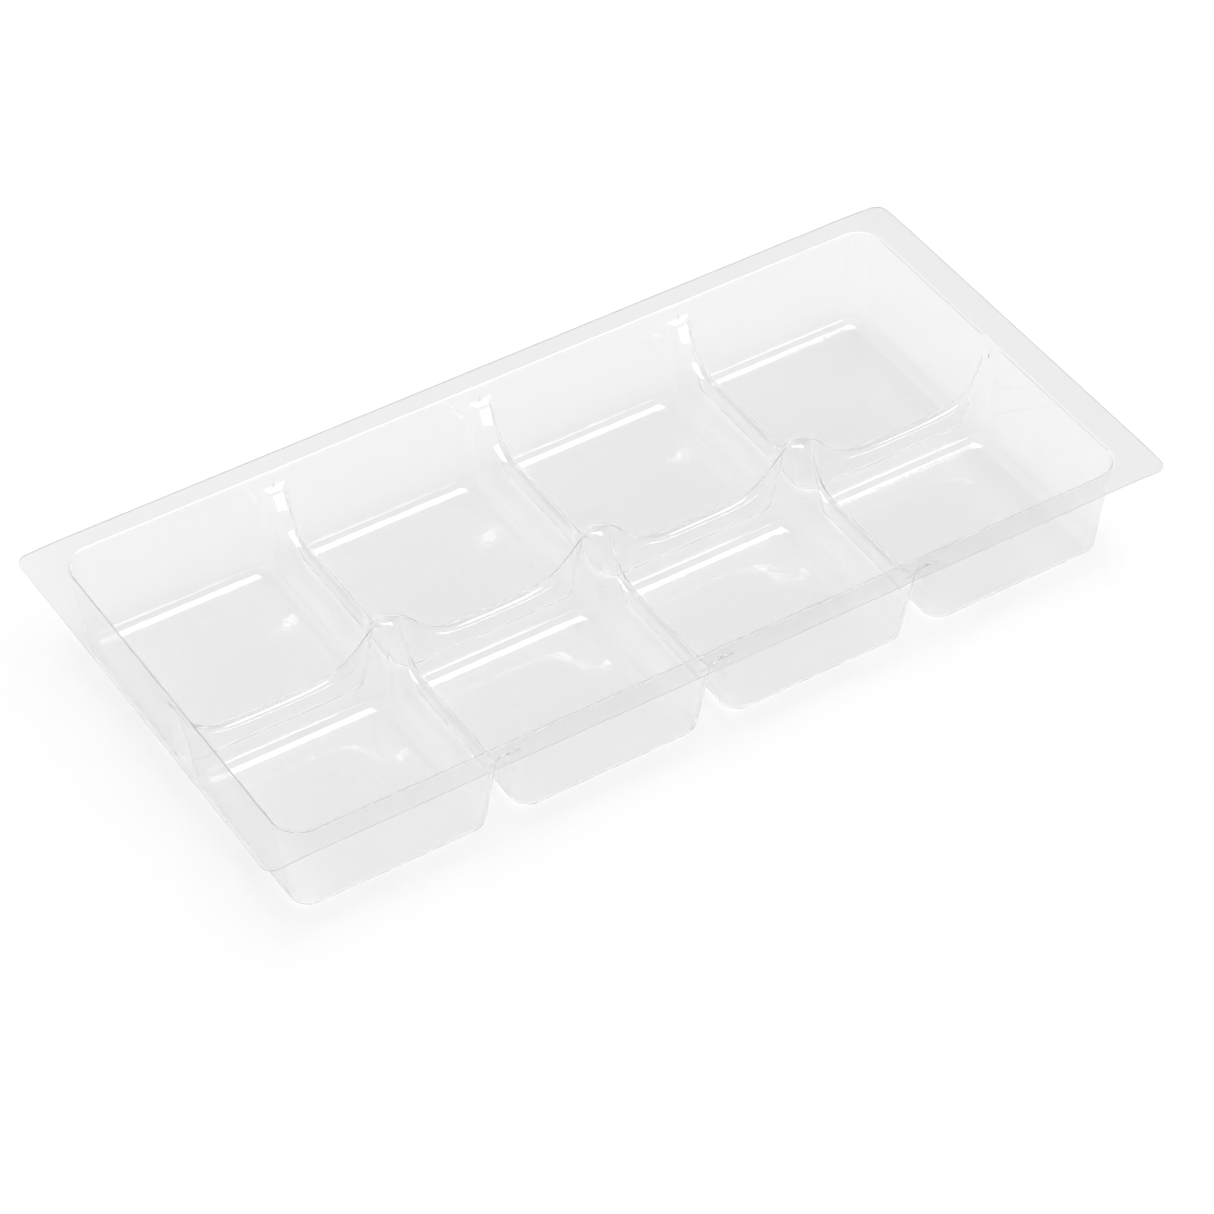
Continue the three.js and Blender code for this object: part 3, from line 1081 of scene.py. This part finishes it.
@dataclass(frozen=True)
class SoftBox:
    """One large, even studio light, in metres and watts."""

    name: str
    place: tuple[float, float, float]
    spread: tuple[float, float]
    power: float

    def build(self) -> None:
        """Hangs the light and turns it to the middle of the table."""
        light = bpy.data.lights.new(self.name, "AREA")
        light.shape = "RECTANGLE"
        light.size, light.size_y = self.spread
        light.energy = self.power
        lamp = bpy.data.objects.new(self.name, light)
        bpy.context.scene.collection.objects.link(lamp)
        lamp.location = self.place
        lamp.rotation_euler = Vector(self.place).to_track_quat("Z", "Y").to_euler()


@dataclass
class Studio:
    """The pale table, the lights and the camera, in metres and degrees, with the lens in millimetres."""

    # The table lies just under the tray. It glows, and more so where it is seen directly than through
    # the tray, so that the clear sheet shows as pale grey on white.
    floor_half: float = 6.0
    floor_drop: float = 0.0003
    floor_albedo: str = "BCBCBC"
    floor_roughness: float = 0.9
    floor_glow: float = 0.295
    floor_bleach: float = 0.09
    # The room is pale, and darker towards the back right, which the tray's level faces mirror to the
    # camera. The reach is the cosine of the angle to that side where the dark starts, and where it
    # is complete.
    surround: float = 0.85
    dark_surround: float = 0.3
    dark_side: tuple[float, float, float] = (0.65, 0.5, 0.55)
    dark_reach: tuple[float, float] = (0.85, 1.0)
    overhead: SoftBox = SoftBox("overhead", (0.5, 0.1, 2.2), (1.6, 1.3), 25.0)
    front_right: SoftBox = SoftBox("front_right", (0.9, -1.95, 0.34), (1.1, 0.6), 7.0)
    # Light goes through many layers of sheet before it is given up.
    bounces: int = 24
    azimuth: float = -32.598
    elevation: float = 43.475
    distance: float = 1.09926
    focal_length: float = 136.37
    sensor_width: float = 36.0
    # How far the rim's middle lies to the right of the camera's axis, and above it.
    aim: tuple[float, float] = (-0.002259, 0.022877)

    def build_floor(self) -> None:
        """Lays the table top just under the tray."""
        mesh = bpy.data.meshes.new("table_top")
        h = self.floor_half
        z = CAD_BOX[0].z - self.floor_drop
        mesh.from_pydata([(-h, -h, z), (h, -h, z), (h, h, z), (-h, h, z)], [], [(0, 1, 2, 3)])
        material = empty_material("backlit white table")
        tree = material.node_tree
        seen = add_node(tree, "ShaderNodeLightPath").outputs["Is Camera Ray"]
        inputs = {0: seen, 1: self.floor_bleach, 2: self.floor_glow}
        glow = add_node(tree, "ShaderNodeMath", inputs, operation="MULTIPLY_ADD")
        inputs = {
            "Base Color": linear(self.floor_albedo),
            "Roughness": self.floor_roughness,
            "Specular IOR Level": 0.0,
            "Emission Color": linear("FFFFFF"),
            "Emission Strength": glow.outputs[0],
        }
        shader = add_node(tree, "ShaderNodeBsdfPrincipled", inputs)
        add_node(tree, "ShaderNodeOutputMaterial", {"Surface": shader.outputs[0]})
        mesh.materials.append(material)
        floor = bpy.data.objects.new("table_top", mesh)
        bpy.context.scene.collection.objects.link(floor)

    def build_light(self) -> None:
        """Lights the tray from above and from the front right, in a pale room."""
        self.build_room()
        self.overhead.build()
        self.front_right.build()
        scene = bpy.context.scene
        scene.view_settings.view_transform = "Standard"
        scene.cycles.blur_glossy = 0.0
        scene.cycles.caustics_reflective = False
        scene.cycles.max_bounces = self.bounces
        scene.cycles.glossy_bounces = self.bounces
        scene.cycles.transmission_bounces = self.bounces

    def build_room(self) -> None:
        """Puts the pale room round the table, darker towards one side."""
        world = bpy.data.worlds.new("pale room")
        world.use_nodes = True
        tree = world.node_tree
        tree.nodes.clear()
        way = add_node(tree, "ShaderNodeTexCoord").outputs["Generated"]
        inputs = {0: way, 1: Vector(self.dark_side).normalized()}
        facing = add_node(tree, "ShaderNodeVectorMath", inputs, operation="DOT_PRODUCT").outputs["Value"]
        start, end = self.dark_reach
        inputs = {"Value": facing, 1: start, 2: end, 3: self.surround, 4: self.dark_surround}
        strength = add_node(tree, "ShaderNodeMapRange", inputs, interpolation_type="SMOOTHSTEP")
        inputs = {"Color": linear("FFFFFF"), "Strength": strength.outputs[0]}
        background = add_node(tree, "ShaderNodeBackground", inputs)
        add_node(tree, "ShaderNodeOutputWorld", {"Surface": background.outputs[0]})
        bpy.context.scene.world = world

    def build_camera(self) -> None:
        """Stands the camera in front of the tray's left half and above it."""
        a, e = math.radians(self.azimuth), math.radians(self.elevation)
        back = Vector((math.sin(a) * math.cos(e), -math.cos(a) * math.cos(e), math.sin(e)))
        right = Vector((math.cos(a), math.sin(a), 0.0))
        up = back.cross(right)
        centre = Vector((0.0, 0.0, CAD_BOX[1].z))
        data = bpy.data.cameras.new("camera")
        data.lens = self.focal_length
        data.sensor_width = self.sensor_width
        camera = bpy.data.objects.new("camera", data)
        camera.location = centre + back * self.distance - right * self.aim[0] - up * self.aim[1]
        camera.rotation_euler = back.to_track_quat("Z", "Y").to_euler()
        bpy.context.scene.collection.objects.link(camera)
        bpy.context.scene.camera = camera

    def build(self) -> None:
        """Builds the table, the light and the camera."""
        self.build_floor()
        self.build_light()
        self.build_camera()


def main() -> None:
    """Builds the studio and the tray, and reports the piece."""
    logging.basicConfig(level=logging.INFO, format="%(name)s: %(message)s")
    Studio().build()
    tray = Tray.from_frame().build(ClearSheet(), ShearedEdge())
    log.info("%s: %d faces", tray.name, len(tray.data.polygons))


if __name__ == "__main__":
    main()
